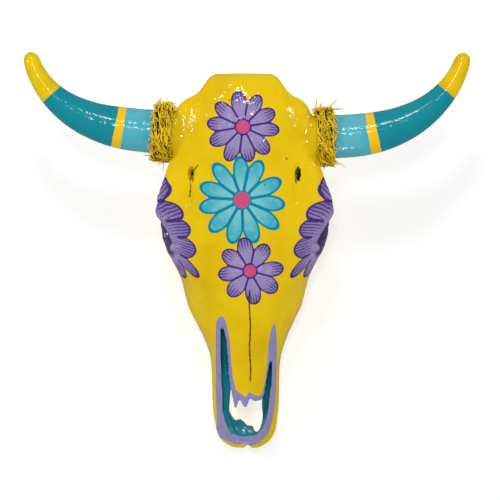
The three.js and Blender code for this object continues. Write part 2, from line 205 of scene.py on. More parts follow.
def bake_modifiers(obj: bpy.types.Object) -> None:
    """Turns what an object's modifiers make into its mesh and drops them.

    Args:
        obj: The object, changed in place.
    """
    graph = bpy.context.evaluated_depsgraph_get()
    made = bpy.data.meshes.new_from_object(obj.evaluated_get(graph))
    old = obj.data
    obj.modifiers.clear()
    obj.data = made
    bpy.data.meshes.remove(old)


def combine(base: bpy.types.Object, other: bpy.types.Object, how: Join) -> bpy.types.Object:
    """Combines a solid with another one.

    Args:
        base: The solid that changes.
        other: The solid that it is combined with, kept as it is.
        how: Union, cut or common part.

    Returns:
        The base.
    """
    modifier = base.modifiers.new(how.name, "BOOLEAN")
    modifier.solver = "MANIFOLD"
    modifier.operation = how.value
    modifier.object = other
    bake_modifiers(base)
    return base


def prism(name: str, outline: Outline, low: float, high: float, across: bool = False) -> bpy.types.Object:
    """Makes a solid with a flat outline.

    Args:
        name: Name of the object.
        outline: Corners in mm, as (x, y), or as (y, z) for a prism that lies across.
        low: Where the prism starts, mm.
        high: Where it ends, mm.
        across: Whether it runs along X and not up along Z.

    Returns:
        The new object.
    """
    bm = bmesh.new()
    rings = []
    for level in (low, high):
        corners = [(level, a, b) if across else (a, b, level) for a, b in outline]
        rings.append([bm.verts.new(Vector(c) * MM) for c in corners])
    bm.faces.new(rings[0])
    bm.faces.new(rings[1])
    count = len(outline)
    for i in range(count):
        j = (i + 1) % count
        bm.faces.new([rings[0][i], rings[0][j], rings[1][j], rings[1][i]])
    bmesh.ops.triangulate(bm, faces=bm.faces[:])
    bmesh.ops.recalc_face_normals(bm, faces=bm.faces[:])
    mesh = bpy.data.meshes.new(name)
    bm.to_mesh(mesh)
    bm.free()
    return make_object(name, mesh)


def solid_of_node(node: str, grow: float = 0.0) -> bpy.types.Object:
    """Copies a CAD node as one merged solid.

    Args:
        node: Name of the node.
        grow: How far the surface moves outwards, mm.

    Returns:
        The copy.
    """
    bm = bmesh.new()
    bm.from_mesh(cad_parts[node].data)
    bmesh.ops.remove_doubles(bm, verts=bm.verts[:], dist=MERGE * MM)
    bm.normal_update()
    for vert in bm.verts:
        vert.co += vert.normal * grow * MM
    mesh = bpy.data.meshes.new(node)
    bm.to_mesh(mesh)
    bm.free()
    return make_object(f"{node}_solid", mesh)


def grid_mesh(name: str, rows: np.ndarray, closed: bool) -> bpy.types.Mesh:
    """Makes a tube from rings of points.

    Args:
        name: Name of the mesh.
        rows: Rings by points by coordinates, in mm.
        closed: Whether the last ring meets the first one. Other tubes get a flat end on either side.

    Returns:
        The mesh, with its faces outwards.
    """
    rings, points = rows.shape[:2]
    index = np.arange(rings * points).reshape(rings, points)
    ahead = np.roll(index, -1, axis=0) if closed else index[1:]
    low = index if closed else index[:-1]
    quads = np.stack([low, np.roll(low, -1, axis=1), np.roll(ahead, -1, axis=1), ahead], axis=-1)
    ends = [] if closed else [index[0].tolist(), index[-1].tolist()]
    mesh = bpy.data.meshes.new(name)
    mesh.from_pydata((rows.reshape(-1, 3) * MM).tolist(), [], [*quads.reshape(-1, 4).tolist(), *ends])
    bm = bmesh.new()
    bm.from_mesh(mesh)
    bmesh.ops.recalc_face_normals(bm, faces=bm.faces[:])
    bm.to_mesh(mesh)
    bm.free()
    return mesh


def places_of(mesh: bpy.types.Mesh) -> np.ndarray:
    """Reads a mesh's vertex places.

    Args:
        mesh: The mesh.

    Returns:
        One row per vertex, in mm.
    """
    flat = np.empty(len(mesh.vertices) * 3, np.float32)
    mesh.vertices.foreach_get("co", flat)
    return flat.reshape(-1, 3).astype(float) / MM


def set_places(mesh: bpy.types.Mesh, places: np.ndarray) -> None:
    """Writes vertex places in mm back to a mesh."""
    mesh.vertices.foreach_set("co", (places * MM).astype(np.float32).ravel())
    mesh.update()


def normals_of(mesh: bpy.types.Mesh) -> np.ndarray:
    """Reads a mesh's vertex normals.

    Args:
        mesh: The mesh.

    Returns:
        One row per vertex.
    """
    flat = np.empty(len(mesh.vertices) * 3, np.float32)
    mesh.vertex_normals.foreach_get("vector", flat)
    return flat.reshape(-1, 3).astype(float)


def store(mesh: bpy.types.Mesh, name: str, values: np.ndarray) -> None:
    """Keeps one number per vertex as a mesh attribute."""
    attribute = mesh.attributes.new(name, "FLOAT", "POINT")
    attribute.data.foreach_set("value", values.astype(np.float32))


def smoothstep(values: np.ndarray, low: float, high: float) -> np.ndarray:
    """Rises softly from 0 at low to 1 at high."""
    t = np.clip((values - low) / (high - low), 0, 1)
    return t * t * (3 - 2 * t)


def finish_piece(obj: bpy.types.Object, nodes: Sequence[str]) -> None:
    """Hands a finished piece to the frame.

    Args:
        obj: The piece.
        nodes: CAD nodes that it takes the place of, if any.
    """
    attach(obj, "root")
    if nodes:
        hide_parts(*nodes)
    triangles = sum(len(p.vertices) - 2 for p in obj.data.polygons)
    log.info("%s: %d triangles", obj.name, triangles)


# Node trees


class Wire:
    """A number inside a node tree that ordinary arithmetic can be written with."""

    def __init__(self, tree: bpy.types.NodeTree, socket: bpy.types.NodeSocket) -> None:
        """Keeps the tree and the socket that gives the number."""
        self.tree = tree
        self.socket = socket

    def math(self, operation: str, *others: "Wire | float") -> "Wire":
        """Adds a math node.

        Args:
            operation: The node's operation.
            others: Further operands after this one.

        Returns:
            The node's result.
        """
        node = self.tree.nodes.new("ShaderNodeMath")
        node.operation = operation
        for socket, value in zip(node.inputs, (self, *others)):
            if isinstance(value, Wire):
                self.tree.links.new(value.socket, socket)
            else:
                socket.default_value = value
        return Wire(self.tree, node.outputs[0])

    def __add__(self, other: "Wire | float") -> "Wire":
        """Adds a number or wire."""
        return self.math("ADD", other)

    def __sub__(self, other: "Wire | float") -> "Wire":
        """Takes a number or wire away."""
        return self.math("SUBTRACT", other)

    def __mul__(self, other: "Wire | float") -> "Wire":
        """Multiplies by a number or wire."""
        return self.math("MULTIPLY", other)

    def __pow__(self, other: "Wire | float") -> "Wire":
        """Raises to a power."""
        return self.math("POWER", other)

    def __abs__(self) -> "Wire":
        """Drops the sign."""
        return self.math("ABSOLUTE")

    def rise(self, low: float, high: float) -> "Wire":
        """Rises softly from 0 at low to 1 at high, or falls where high is the lower one.

        Args:
            low: Value that gives 0.
            high: Value that gives 1.

        Returns:
            The result, between 0 and 1.
        """
        node = self.tree.nodes.new("ShaderNodeMapRange")
        node.interpolation_type = "SMOOTHSTEP"
        self.tree.links.new(self.socket, node.inputs["Value"])
        node.inputs["From Min"].default_value = low
        node.inputs["From Max"].default_value = high
        return Wire(self.tree, node.outputs["Result"])


def srgb(red: int, green: int, blue: int) -> Colour:
    """Turns a screen colour into a linear one.

    Args:
        red: Red, from 0 to 255.
        green: Green.
        blue: Blue.

    Returns:
        The linear colour, opaque.
    """
    parts = [c / 255 for c in (red, green, blue)]
    linear = [c / 12.92 if c <= 0.04045 else ((c + 0.055) / 1.055) ** 2.4 for c in parts]
    return (*linear, 1.0)


class Finish:
    """A material with a principled shader, and the nodes that feed it."""

    def __init__(self, name: str, roughness: float, shine: float = 0.5) -> None:
        """Makes the material.

        Args:
            name: Name of the material.
            roughness: Its roughness.
            shine: The strength of its reflections.
        """
        self.material = bpy.data.materials.new(name)
        self.material.use_nodes = True
        self.tree = self.material.node_tree
        self.shader = self.tree.nodes["Principled BSDF"]
        self.shader.inputs["Roughness"].default_value = roughness
        self.shader.inputs["Specular IOR Level"].default_value = shine
        self.place = self.tree.nodes.new("ShaderNodeTexCoord").outputs["Object"]

    def attribute(self, name: str) -> Wire:
        """Reads a number that the mesh keeps at each vertex.

        Args:
            name: Name of the mesh attribute.

        Returns:
            The number.
        """
        node = self.tree.nodes.new("ShaderNodeAttribute")
        node.attribute_name = name
        return Wire(self.tree, node.outputs["Fac"])

    def noise(self, per_metre: float, detail: float = 2.0) -> Wire:
        """Makes cloudy noise in object space.

        Args:
            per_metre: How many clouds fit on a metre.
            detail: How many finer layers are added.

        Returns:
            The noise, between 0 and 1.
        """
        node = self.tree.nodes.new("ShaderNodeTexNoise")
        self.tree.links.new(self.place, node.inputs["Vector"])
        node.inputs["Scale"].default_value = per_metre
        node.inputs["Detail"].default_value = detail
        return Wire(self.tree, node.outputs["Fac"])

    def specks(self, per_metre: float) -> Wire:
        """Measures the distance to scattered points.

        Args:
            per_metre: How many points fit on a metre.

        Returns:
            The distance, in units of the points' spacing.
        """
        node = self.tree.nodes.new("ShaderNodeTexVoronoi")
        self.tree.links.new(self.place, node.inputs["Vector"])
        node.inputs["Scale"].default_value = per_metre
        return Wire(self.tree, node.outputs["Distance"])

    def over(
        self, base: "bpy.types.NodeSocket | Colour", top: "bpy.types.NodeSocket | Colour", mask: Wire
    ) -> bpy.types.NodeSocket:
        """Lays a colour over another one.

        Args:
            base: The colour below, as a socket or a constant.
            top: The colour above.
            mask: Where the upper colour shows, from 0 to 1.

        Returns:
            The mixed colour.
        """
        node = self.tree.nodes.new("ShaderNodeMix")
        node.data_type = "RGBA"
        self.tree.links.new(mask.socket, node.inputs[0])
        for index, colour in ((MIX_BELOW, base), (MIX_ABOVE, top)):
            if isinstance(colour, bpy.types.NodeSocket):
                self.tree.links.new(colour, node.inputs[index])
            else:
                node.inputs[index].default_value = colour
        return node.outputs[MIX_RESULT]

    def paint(self, colour: bpy.types.NodeSocket) -> None:
        """Connects the finished colour to the shader."""
        self.tree.links.new(colour, self.shader.inputs["Base Color"])

    def bump(self, height: Wire, strength: float, depth: float) -> None:
        """Roughens the surface.

        Args:
            height: The relief, from 0 to 1.
            strength: Share of the effect.
            depth: Height of the relief in mm.
        """
        node = self.tree.nodes.new("ShaderNodeBump")
        node.inputs["Strength"].default_value = strength
        node.inputs["Distance"].default_value = depth * MM
        self.tree.links.new(height.socket, node.inputs["Height"])
        self.tree.links.new(node.outputs["Normal"], self.shader.inputs["Normal"])


# Paint


@dataclass(frozen=True)
class Palette:
    """The pots of paint."""

    yellow: Colour = srgb(240, 203, 16)
    yellow_deep: Colour = srgb(222, 182, 12)
    lavender: Colour = srgb(156, 142, 193)
    lavender_pale: Colour = srgb(182, 172, 212)
    lavender_grey: Colour = srgb(152, 148, 193)
    purple: Colour = srgb(110, 84, 152)
    purple_line: Colour = srgb(76, 46, 122)
    # painted shade: darker purple deep inside the eye sockets
    socket: Colour = srgb(108, 96, 138)
    cyan: Colour = srgb(66, 176, 196)
    cyan_pale: Colour = srgb(132, 204, 208)
    teal_line: Colour = srgb(0, 138, 164)
    teal: Colour = srgb(26, 142, 156)
    # painted shade: dark teal deep inside the nose's hollow
    teal_painted_shade: Colour = srgb(2, 48, 56)
    pink: Colour = srgb(208, 82, 134)
    pink_pale: Colour = srgb(226, 140, 168)
    light_blue: Colour = srgb(96, 184, 196)
    ring: Colour = srgb(250, 200, 30)
    # painted shade: near black inside pores, cracks and pits, and in the rope's core
    shade_black: Colour = srgb(34, 24, 6)
    ivory: Colour = srgb(214, 200, 166)
    straw: Colour = srgb(252, 216, 38)
    straw_dull: Colour = srgb(184, 148, 14)
    straw_dark: Colour = srgb(48, 36, 4)


PALETTE = Palette()


OUTSIDE = -99.0  # mm, stands for far outside a petal


class Petals(NamedTuple):
    """What the petals of a daisy give at each point."""

    edge: np.ndarray  # mm inside the petal's edge, below zero outside
    along: np.ndarray  # 0 at the middle of the daisy to 1 at the petal's tip
    across: np.ndarray  # mm across the petal, from its middle line


@dataclass(frozen=True)
class Daisy:
    """A daisy of rounded petals, all by one formula, with sizes in mm."""

    centre: tuple[float, float]
    petals: int
    first: float  # heading of the first petal, degrees
    reach: float
    half_width: float
    disc: float  # below zero where a daisy has none
    seed: int
    shoulder: float = 0.68  # share of the length where a petal is widest
    root: float = 0.2  # width at the middle as a share of the full width
    ring: float = 1.9  # dark line round the disc
    jitter: float = 0.1  # how far headings stray, as a share of their spacing
    taper: float = 1.15  # above 1 a petal stays slim near its root
    parting: float = 0.6  # how fast the line between two petals fades into them
    ring_edge: float = 0.4  # mm, counts as a petal's dark edge

    def spread(self) -> tuple[np.ndarray, np.ndarray, np.ndarray]:
        """Draws the headings, lengths and half widths of the petals.

        Returns:
            Three arrays with a value per petal, the headings in radians.
        """
        dice = np.random.default_rng(self.seed)
        step = 360 / self.petals
        stray = dice.uniform(-self.jitter, self.jitter, self.petals)
        heading = self.first + step * (np.arange(self.petals) + stray)
        reach = self.reach * dice.uniform(0.95, 1.03, self.petals)
        width = self.half_width * dice.uniform(0.94, 1.06, self.petals)
        return np.radians(heading), reach, width

    def fields(self, x: np.ndarray, y: np.ndarray) -> Petals:
        """Works out the petals at points of the plane.

        Args:
            x: First coordinates, mm.
            y: Second coordinates, mm.

        Returns:
            The petals' edge distance and their own coordinates.
        """
        dx, dy = x - self.centre[0], y - self.centre[1]
        best = Petals(np.full(x.shape, OUTSIDE), np.zeros(x.shape), np.zeros(x.shape))
        second = np.full(x.shape, OUTSIDE)
        for heading, reach, width in zip(*self.spread()):
            u = dx * math.cos(heading) + dy * math.sin(heading)
            v = dy * math.cos(heading) - dx * math.sin(heading)
            widest = self.shoulder * reach
            tip = reach - widest
            rising = np.sin(np.clip(u / widest, 0, 1) * math.pi / 2) ** self.taper
            swell = self.root + (1 - self.root) * rising
            body = width * swell - np.abs(v)
            round_tip = (1 - np.hypot((u - widest) / tip, v / width)) * min(tip, width)
            edge = np.where(u > widest, round_tip, np.where(u > 0, body, OUTSIDE))
            ahead = edge > best.edge
            second = np.where(ahead, best.edge, np.maximum(second, edge))
            best = Petals(
                np.where(ahead, edge, best.edge),
                np.where(ahead, u / reach, best.along),
                np.where(ahead, v, best.across),
            )
        parted = np.minimum(best.edge, self.parting * (best.edge - second))
        from_middle = np.hypot(dx, dy)
        parted = np.where(best.edge > 0, parted, best.edge)
        ringed = np.where(from_middle < self.disc + self.ring, self.ring_edge, parted)
        return Petals(ringed, best.along, best.across)

    def disc_edge(self, x: np.ndarray, y: np.ndarray) -> np.ndarray:
        """How far points lie inside the disc in the middle, mm."""
        return self.disc - np.hypot(x - self.centre[0], y - self.centre[1])


@dataclass(frozen=True)
class EyeDaisy(Daisy):
    """A daisy that spreads from an eye socket over brow and cheek.

    Its plane is the surface itself, unrolled round a line along Y through the socket's middle.
    """

    socket: tuple[float, float, float] = (104.0, 32.0, 110.0)
    plain: float = 44.0  # within this radius the paint has no petals yet
    lengths: Outline = (
        (-180, 0.86), (-110, 0.92), (-68, 0.98), (-51, 1.1), (-27, 0.92), (7, 0.8), (35, 0.9), (58, 1.22),
        (90, 1.1), (140, 0.92), (180, 0.86),
    )
    widths: Outline = (
        (-180, 1.0), (-110, 0.8), (-68, 0.45), (-51, 0.52), (-27, 1.0), (20, 1.0), (38, 1.22), (60, 1.25),
        (90, 1.0), (180, 1.0),
    )

    def spread(self) -> tuple[np.ndarray, np.ndarray, np.ndarray]:
        """Draws petals that are longest along the brow and narrow along the cheek.

        Returns:
            Three arrays with a value per petal, the headings in radians.
        """
        heading, reach, width = super().spread()
        degrees = (np.degrees(heading) + 180) % 360 - 180
        return heading, reach * monotone(self.lengths)(degrees), width * monotone(self.widths)(degrees)

    def fields(self, x: np.ndarray, y: np.ndarray, z: np.ndarray) -> Petals:
        """Works out the petals at points of the skull.

        Args:
            x: Coordinates along X, mm, on either side.
            y: Coordinates along Y, mm.
            z: Coordinates along Z, mm.

        Returns:
            The petals' edge distance and their own coordinates.
        """
        inwards, ahead, up = self.socket[0] - np.abs(x), y - self.socket[1], z - self.socket[2]
        upper = np.where(0.8 * inwards + up > -10, 1.0, -1.0)
        unrolled = np.hypot(inwards, up) * upper
        flat = super().fields(unrolled, ahead)
        return Petals(np.maximum(flat.edge, self.plain - np.hypot(unrolled, ahead)), flat.along, flat.across)


@dataclass(frozen=True)
class Hollow:
    """An egg-shaped hollow, the same on both sides of the skull, in mm."""

    at: tuple[float, float, float]
    radii: tuple[float, float, float]

    def depth(self, x: np.ndarray, y: np.ndarray, z: np.ndarray) -> np.ndarray:
        """Gives 0 in the middle of the hollow and 1 at its wall."""
        parts = [(np.abs(x), y, z)[i] / self.radii[i] - self.at[i] / self.radii[i] for i in range(3)]
        return np.sqrt(sum(part * part for part in parts))


@dataclass(frozen=True)
class Groove:
    """A groove in the bone, by its route in plan view, in mm."""

    route: Outline
    width: float
    depth: float

    def sink(self, x: np.ndarray, y: np.ndarray) -> np.ndarray:
        """How far the bone sinks at points, mm."""
        return self.depth * np.exp(-((route_distance(x, y, self.route) / self.width) ** 2))


@dataclass(frozen=True)
class SkullPaint:
    """Where each paint goes on the bones, kept as smooth distances on their vertices."""

    purple: tuple[Daisy, ...] = (
        Daisy(centre=(-2.4, 163.8), petals=10, first=65, reach=46.5, half_width=9.8, disc=8.7, seed=3),
        Daisy(centre=(6.5, -19.1), petals=8, first=54, reach=43.0, half_width=10.6, disc=8.0, seed=5),
    )
    blue: Daisy = Daisy(
        centre=(-3.7, 71.8), petals=11, first=28, reach=58.0, half_width=10.7, disc=10.3, seed=8
    )
    eyes: EyeDaisy = EyeDaisy(
        centre=(0, 0), petals=13, first=7, reach=70.0, half_width=16.5, disc=-9, seed=10540,
        root=0.5, jitter=0.3,
    )
    top_above: float = 96.0  # the three daisies in the middle lie above this height
    nose_outer: Outline = (
        (-30, -78), (-34, -79.5), (-37, -84), (-38.3, -91), (-38.9, -123.7), (-39.4, -171.6),
        (-38.3, -205.8), (-38.4, -233), (-33.7, -245), (-13.6, -253.3), (-2.9, -252.6), (9.2, -254.8),
        (19.9, -250.8), (32, -237.4), (36.6, -219.5), (40.5, -192), (41.6, -157.8), (42.1, -123.7),
        (40.4, -92), (38.4, -87),
    )
    nose_inner: Outline = (
        (-29, -60), (-29, -78), (-25.6, -83), (-23.6, -90), (-19.8, -110), (-18.6, -132), (-16, -159),
        (-12.1, -176), (-9.4, -178), (0.5, -186), (5.8, -178), (13.1, -183.5), (18.4, -184.8),
        (22.4, -181.5), (26.4, -164), (29, -142.5), (31.4, -110), (34.7, -94), (37.9, -87.6), (37.9, -60),
    )
    nose_low: Outline = ((-258, 31), (-230, 33), (-180, 43), (-90, 60))
    hollow_width: Outline = ((-240, 23), (-215, 34), (-190, 38), (-140, 39), (-83, 37), (-60, 32), (-30, 16))
    hollow_floor: Outline = ((-240, 40), (-225, 38), (-200, 41), (-140, 49), (-60, 60), (-30, 84))
    hollow_middle: float = 3.0
    hollow_ends: tuple[float, float] = (-245.0, -30.0)
    trough_floor: float = 46.0
    floor_spare: float = 2.5  # paint runs this far below the floor's even height
    shell: float = 5.0  # bone over the hollow
    brow_x: Outline = ((-258, 12), (-248, 24), (-230, 33), (-200, 35), (-140, 34.5), (-80, 41), (-50, 52))
    brow_drop: Outline = ((-258, 3), (-230, 16), (-200, 26), (-140, 21), (-80, 16), (-25, 14))
    brow_fall: Outline = ((0, 0), (0.6, 0.32), (1, 1), (1.2, 1.7))  # share of the drop, by share of brow_x
    tooth_line: float = 15.0
    tooth_row: tuple[float, float] = (-54.0, 72.0)  # its middle and half length along Y
    tooth_fade: float = 7.0  # how softly the row's ends count, against its height
    socket: Hollow = Hollow(at=(103, 32, 110), radii=(51, 32, 28))
    pore: Hollow = Hollow(at=(68, 104, 172), radii=(3, 9, 13))
    cracks: tuple[Outline, ...] = (
        ((-65.5, 108), (-63.5, 111), (-60, 116)),
        ((-70, 96), (-69.2, 88), (-70.4, 76)),
        ((64.6, 98), (66.2, 92)),
        ((52.5, 124.5), (54.5, 123)),
        ((6.2, -44), (5.4, -60), (7, -90), (6, -120), (7.3, -150), (7, -163)),
    )

    def nose_band(self, x: np.ndarray, y: np.ndarray, z: np.ndarray) -> np.ndarray:
        """How far points lie inside the lavender band round the nose, mm."""
        band = np.minimum(inside_distance(x, y, self.nose_outer), -inside_distance(x, y, self.nose_inner))
        return np.minimum(band, z - monotone(self.nose_low)(y))

    def nose_inside(self, x: np.ndarray, y: np.ndarray, z: np.ndarray) -> np.ndarray:
        """Measures how far points lie inside the teal hollow of the nose.

        Args:
            x: Coordinates along X, mm.
            y: Coordinates along Y, mm.
            z: Coordinates along Z, mm.

        Returns:
            Distances in mm, below zero outside the hollow.
        """
        walls = monotone(self.hollow_width)(y) - np.abs(x - self.hollow_middle)
        floor = z - np.minimum(monotone(self.hollow_floor)(y), self.trough_floor) + self.floor_spare
        fall = np.interp(np.abs(x) / monotone(self.brow_x)(y), *zip(*self.brow_fall))
        depth = CROWN(y) - monotone(self.brow_drop)(y) * fall - z - self.shell
        ends = np.minimum(y - self.hollow_ends[0], self.hollow_ends[1] - y)
        return np.minimum.reduce([walls, floor, depth, ends])

    def apply(self, mesh: bpy.types.Mesh) -> None:
        """Stores the paint's distances on a bone.

        Args:
            mesh: The bone's mesh.
        """
        x, y, z = places_of(mesh).T
        buried = np.minimum(z - self.top_above, 0)
        flowers = [daisy.fields(x, y) for daisy in self.purple]
        flowers = [Petals(np.where(buried < 0, buried, f.edge), f.along, f.across) for f in flowers]
        flowers.append(self.eyes.fields(x, y, z))
        nearest = np.argmax([f.edge for f in flowers], axis=0)
        for part in Petals._fields:
            stacked = np.stack([getattr(f, part) for f in flowers])
            store(mesh, f"purple_{part}", np.take_along_axis(stacked, nearest[None], 0)[0])
        blue = self.blue.fields(x, y)
        store(mesh, "blue_edge", np.where(buried < 0, buried, blue.edge))
        store(mesh, "blue_along", blue.along)
        discs = [daisy.disc_edge(x, y) for daisy in (*self.purple, self.blue)]
        store(mesh, "disc_edge", np.where(buried < 0, buried, np.max(discs, axis=0)))
        store(mesh, "nose_band", self.nose_band(x, y, z))
        store(mesh, "nose_inside", self.nose_inside(x, y, z))
        store(mesh, "socket", self.socket.depth(x, y, z))
        store(mesh, "pore", self.pore.depth(x, y, z))
        cracks = np.min([route_distance(x, y, route) for route in self.cracks], axis=0)
        store(mesh, "crack", np.where(buried < 0, FAR, cracks))
        middle, half = self.tooth_row
        store(mesh, "tooth", np.minimum(self.tooth_line - z, (half - np.abs(y - middle)) / self.tooth_fade))


class BonePaint(Finish):
    """Gloss paint on bone: yellow, with daisies, a lavender nose and teal inside it, and painted shade in the
    hollows.

    Pairs of sizes are mm inside an edge, between which one colour gives way to the next.
    """

    petal_edge: tuple[float, float] = (-0.25, 0.25)
    blue_line: tuple[float, float] = (2.1, 2.9)
    purple_line: tuple[float, float] = (1.2, 2.1)
    disc_edge: tuple[float, float] = (-0.3, 0.3)
    band_edge: tuple[float, float] = (-0.3, 0.3)
    teal_edge: tuple[float, float] = (-0.6, 0.6)
    # painted shade: mm inside the nose's hollow over which the teal darkens
    teal_shade_depths: tuple[float, float] = (6, 14)
    tooth_edge: tuple[float, float] = (-0.5, 0.8)

    def __init__(self) -> None:
        """Lays one paint over the other and gives the gloss its ripples."""
        super().__init__("bone_gloss_paint", roughness=0.1, shine=0.2)
        colour = self.over(PALETTE.yellow, PALETTE.yellow_deep, self.noise(14, 4).rise(0.4, 0.8))
        colour = self.blue_daisy(colour)
        colour = self.purple_daisies(colour)
        colour = self.nose(colour)
        colour = self.over(colour, PALETTE.pink, self.attribute("disc_edge").rise(*self.disc_edge))
        pale = self.noise(420, 3).rise(0.55, 0.85) * self.attribute("disc_edge").rise(0.2, 2.0)
        colour = self.over(colour, PALETTE.pink_pale, pale * 0.6)
        colour = self.over(colour, PALETTE.ivory, self.attribute("tooth").rise(*self.tooth_edge))
        # painted shade in the pores, cracks and pits goes on last
        self.paint(self.hole_shade(colour))
        clusters = self.noise(26, 2).rise(0.42, 0.62) * 0.75 + 0.25
        brushed = (self.noise(105, 2) * 0.9 + self.noise(360, 2) * 0.1) * clusters - self.pits() * 0.5
        self.bump(brushed, strength=1.0, depth=1.3)

    def hole_shade(self, colour: bpy.types.NodeSocket) -> bpy.types.NodeSocket:
        """Paints shade, near black, into the pores, along the cracks and in small pits.

        Args:
            colour: The colour below.

        Returns:
            The colour with the dirt on it.
        """
        uneven = self.noise(260, 3) * 0.9
        # Painted shade: near black inside the pores, along the cracks and in the pits.
        colour = self.over(colour, PALETTE.shade_black, (self.attribute("pore") + uneven).rise(1.7, 1.45))
        crack = self.attribute("crack") + uneven * 2.4
        colour = self.over(colour, PALETTE.shade_black, crack.rise(2.5, 1.6) * 0.85)
        return self.over(colour, PALETTE.shade_black, self.pits().rise(0.35, 0.75) * 0.75)

    def pits(self) -> Wire:
        """Marks a few small pits in the bone."""
        return self.specks(70).rise(0.085, 0.03) * self.noise(22, 1).rise(0.56, 0.62)

    def blue_daisy(self, colour: bpy.types.NodeSocket) -> bpy.types.NodeSocket:
        """Lays the blue daisy over a colour.

        Args:
            colour: The colour below.

        Returns:
            The colour with the paint on it.
        """
        edge = self.attribute("blue_edge")
        fill = self.over(PALETTE.cyan_pale, PALETTE.cyan, self.attribute("blue_along").rise(0.2, 0.85))
        dry = self.noise(130, 5).rise(0.46, 0.66) * 0.5
        fill = self.over(fill, PALETTE.cyan_pale, dry)
        fill = self.over(PALETTE.teal_line, fill, edge.rise(*self.blue_line))
        return self.over(colour, fill, edge.rise(*self.petal_edge))

    def purple_daisies(self, colour: bpy.types.NodeSocket) -> bpy.types.NodeSocket:
        """Lays the purple daisies, with streaked tips and painted shade deep in the eye sockets, over a
        colour.

        Args:
            colour: The colour below.

        Returns:
            The colour with the paint on it.
        """
        edge = self.attribute("purple_edge")
        along = self.attribute("purple_along")
        across = self.attribute("purple_across")
        streaks = (across * 1.75 + self.noise(140, 2) * 4.0).math("SINE").rise(-0.2, 0.7)
        reach = (along + self.noise(300, 1) * 0.4).rise(0.72, 1.05)
        fill = self.over(PALETTE.lavender, PALETTE.lavender_pale, self.noise(130, 4).rise(0.5, 0.75) * 0.6)
        fill = self.over(fill, PALETTE.purple, along.rise(0.6, 1.05) * 0.7)
        fill = self.over(fill, PALETTE.purple_line, streaks * reach * 0.9)
        # painted shade: the fill turns darker purple deep inside the eye socket
        fill = self.over(fill, PALETTE.socket, self.attribute("socket").rise(1.12, 0.98))
        fill = self.over(PALETTE.purple_line, fill, edge.rise(*self.purple_line))
        return self.over(colour, fill, edge.rise(*self.petal_edge))

    def nose(self, colour: bpy.types.NodeSocket) -> bpy.types.NodeSocket:
        """Lays the nose's band and the teal inside it, darkened deeper in the hollow as painted shade, over a
        colour.

        Args:
            colour: The colour below.

        Returns:
            The colour with the paint on it.
        """
        inside = self.attribute("nose_inside")
        streak = self.noise(90, 3).rise(0.35, 0.7) * 0.22
        lavender = self.over(PALETTE.lavender_grey, PALETTE.purple, streak)
        colour = self.over(colour, lavender, self.attribute("nose_band").rise(*self.band_edge))
        # painted shade: the teal darkens deeper inside the nose's hollow
        teal = self.over(PALETTE.teal, PALETTE.teal_painted_shade, inside.rise(*self.teal_shade_depths))
        return self.over(colour, teal, inside.rise(*self.teal_edge))


class HornPaint(Finish):
    """Gloss paint in bands along a horn."""

    band_edge: float = 0.4  # mm either side of a band's edge, over which its paint sets in
    wander: float = 3.0  # mm, how far the bands' edges stray

    def __init__(self, name: str, ring: tuple[float, float], tip: float) -> None:
        """Lays the bands.

        Args:
            name: Name of the material.
            ring: The edges of the yellow ring, mm from the root.
            tip: Where the painted tip starts, mm from the root.
        """
        super().__init__(name, roughness=0.1, shine=0.18)
        along = self.attribute("along") + (self.noise(60, 2) - 0.5) * self.wander
        base = self.over(PALETTE.light_blue, PALETTE.cyan, self.noise(30, 3).rise(0.45, 0.75))
        teal = self.over(PALETTE.teal, PALETTE.teal_line, self.noise(24, 3).rise(0.45, 0.8) * 0.5)
        gold = self.over(PALETTE.yellow, PALETTE.yellow_deep, self.noise(40, 3).rise(0.35, 0.75))
        colour = base
        for start, paint in ((ring[0], PALETTE.ring), (ring[1], teal), (tip, gold)):
            colour = self.over(colour, paint, along.rise(start - self.band_edge, start + self.band_edge))
        self.paint(colour)
        self.bump(self.noise(100, 3) * 0.7 + self.noise(420, 2) * 0.3, strength=1.0, depth=0.5)


class StrawPaint(Finish):
    """Dull yellow paint on straw, lighter or darker from strand to strand."""

    def __init__(self) -> None:
        """Mixes the strands' own shades with darker patches."""
        super().__init__("painted_straw", roughness=0.55, shine=0.1)
        colour = self.over(PALETTE.straw_dull, PALETTE.straw, self.attribute("shade").rise(0.0, 0.6))
        self.paint(self.over(colour, PALETTE.straw_dark, self.noise(160, 3).rise(0.56, 0.8) * 0.6))


class StrawShade(Finish):
    """The dark inside of the straw rope."""

    def __init__(self) -> None:
        """Mixes two dark browns."""
        super().__init__("straw_shade", roughness=0.85, shine=0.1)
        self.paint(self.over(PALETTE.straw_dark, PALETTE.shade_black, self.noise(200, 2)))


# Bones


@dataclass(frozen=True)
class RoughSpot:
    """A spot where the bone is rougher than elsewhere, in mm."""

    where: Hollow
    swell: float
    wave: float

    def share(self, x: np.ndarray, y: np.ndarray, z: np.ndarray) -> np.ndarray:
        """Gives 1 in the spot and fades to 0 at its edge."""
        return smoothstep(self.where.depth(x, y, z), 1.0, 0.5)


class Net:
    """The edges of a mesh, for evening out values between neighbours."""

    def __init__(self, mesh: bpy.types.Mesh) -> None:
        """Reads the edges of a mesh.

        Args:
            mesh: The mesh.
        """
        ends = np.empty(len(mesh.edges) * 2, np.int32)
        mesh.edges.foreach_get("vertices", ends)
        self.a, self.b = ends.reshape(-1, 2).T
        self.count = len(mesh.vertices)
        degree = np.bincount(self.a, minlength=self.count) + np.bincount(self.b, minlength=self.count)
        self.degree = np.maximum(degree, 1)

    def pull(self, places: np.ndarray) -> np.ndarray:
        """Works out the way from each vertex to the middle of its neighbours.

        Args:
            places: One row per vertex.

        Returns:
            One row per vertex.
        """
        middle = np.empty_like(places)
        for axis, value in enumerate(places.T):
            total = np.bincount(self.a, value[self.b], self.count)
            total += np.bincount(self.b, value[self.a], self.count)
            middle[:, axis] = total / self.degree
        return middle - places


